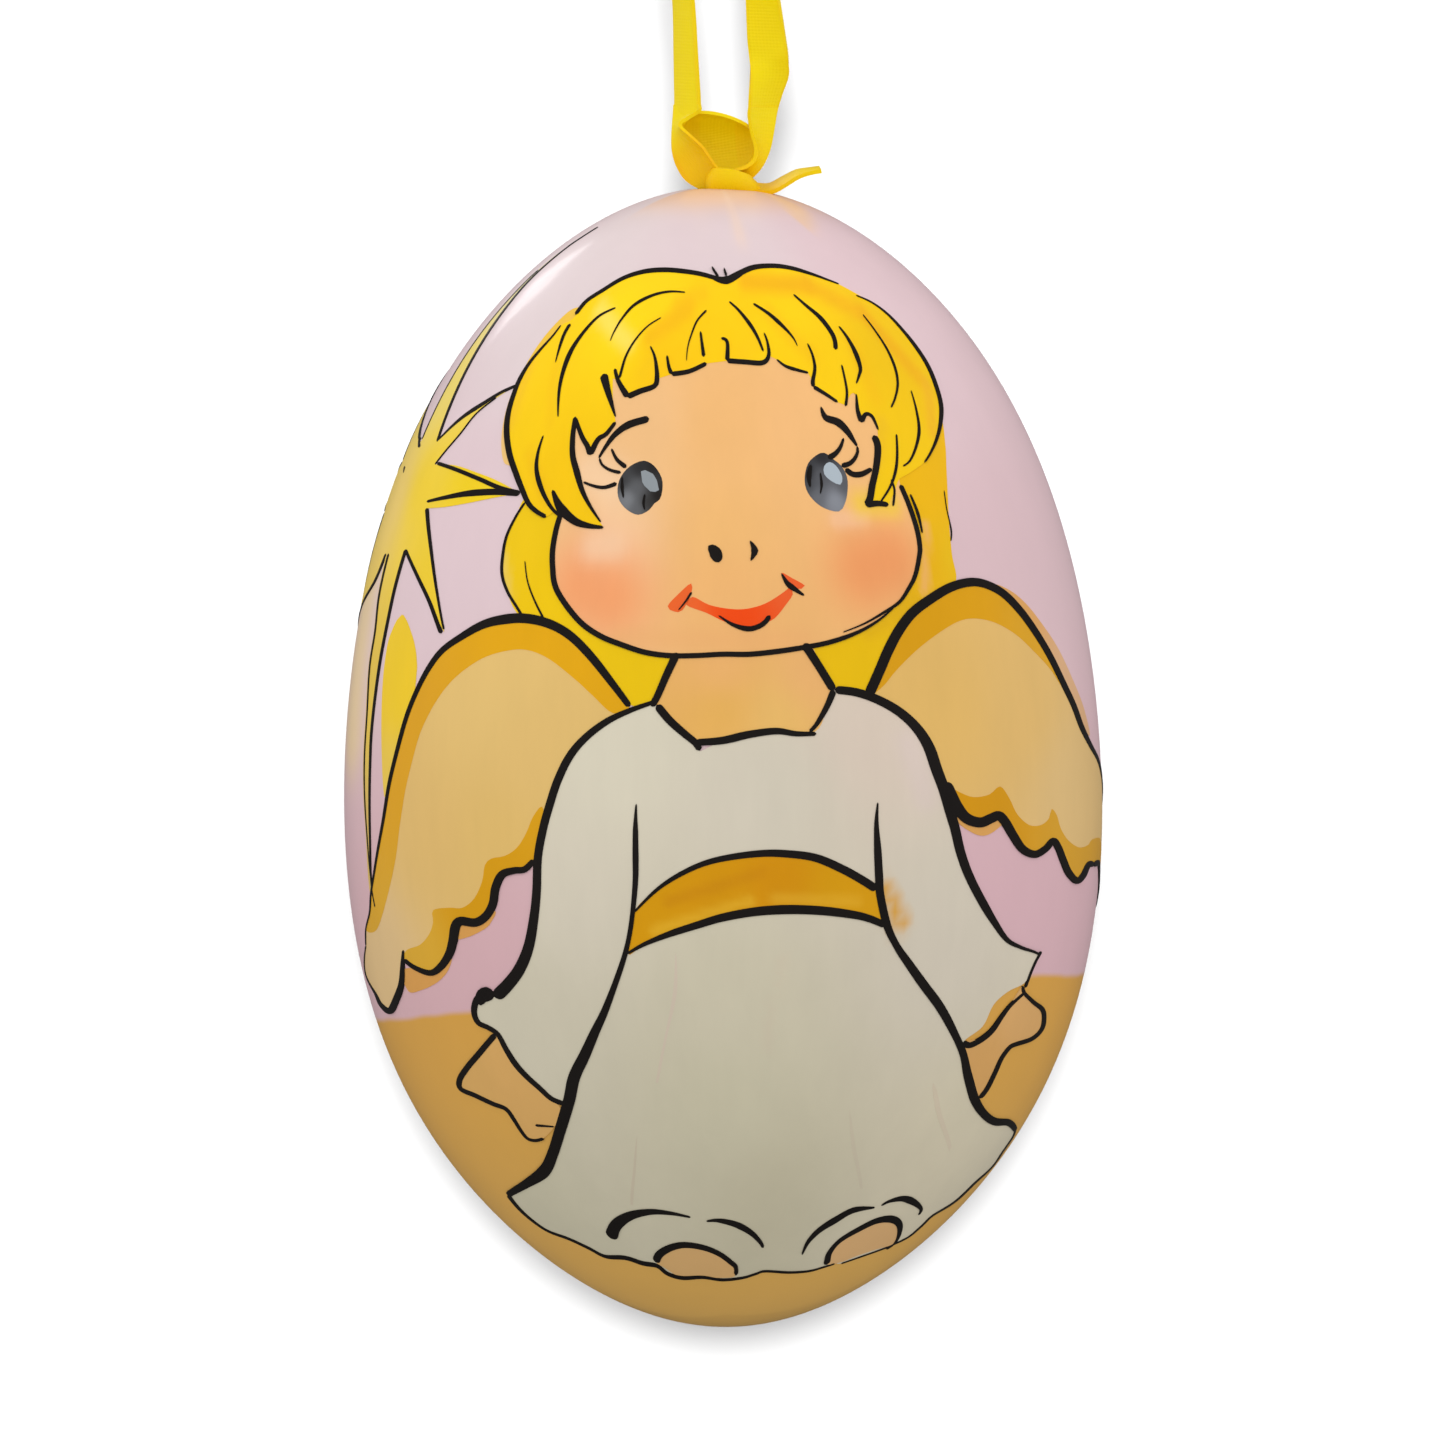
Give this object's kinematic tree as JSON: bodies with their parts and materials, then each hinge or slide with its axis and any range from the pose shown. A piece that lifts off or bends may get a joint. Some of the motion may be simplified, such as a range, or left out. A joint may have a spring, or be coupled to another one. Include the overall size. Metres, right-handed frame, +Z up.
{
  "type": "hanging egg ornament",
  "caption": "Painted, varnished goose egg ornament that hangs from a narrow satin ribbon loop, knotted on top and held inside by a stick.",
  "frame": {"origin": "inside of the ribbon loop's top, where a hook or peg carries it", "axes": "+Z up along the egg's axis, -Y towards the painted side, +X to the right of someone who looks at the painted side"},
  "size_m": [0.0572, 0.0572, 0.1262],
  "materials": {
    "painted_shell": "hand-painted picture under a clear gloss varnish",
    "satin_ribbon": "yellow satin weave",
    "bare_wood": "untreated"
  },
  "bodies": {
    "loop": {"ribbon_loop": "satin_ribbon"},
    "strands": {"ribbon_strands": "satin_ribbon"},
    "knot": {"ribbon_knot": "satin_ribbon", "ribbon_tail": "satin_ribbon", "ribbon_lead": "satin_ribbon", "ribbon_hitch": "satin_ribbon", "toggle_stick": "bare_wood"},
    "egg": {"eggshell": "painted_shell"}
  },
  "joints": [
    {"name": "swing", "type": "hinge", "parent": "loop", "child": "strands", "pos_m": [0, 0, -0.02], "axis": [1, 0, 0], "range_deg": [-60, 60]},
    {"name": "sway", "type": "hinge", "parent": "strands", "child": "knot", "pos_m": [0, 0, -0.0367], "axis": [0, 1, 0], "range_deg": [-25, 25]},
    {"name": "egg_spin", "type": "hinge", "parent": "knot", "child": "egg", "pos_m": [0, 0, -0.083], "axis": [0, 0, 1], "continuous": true}
  ]
}
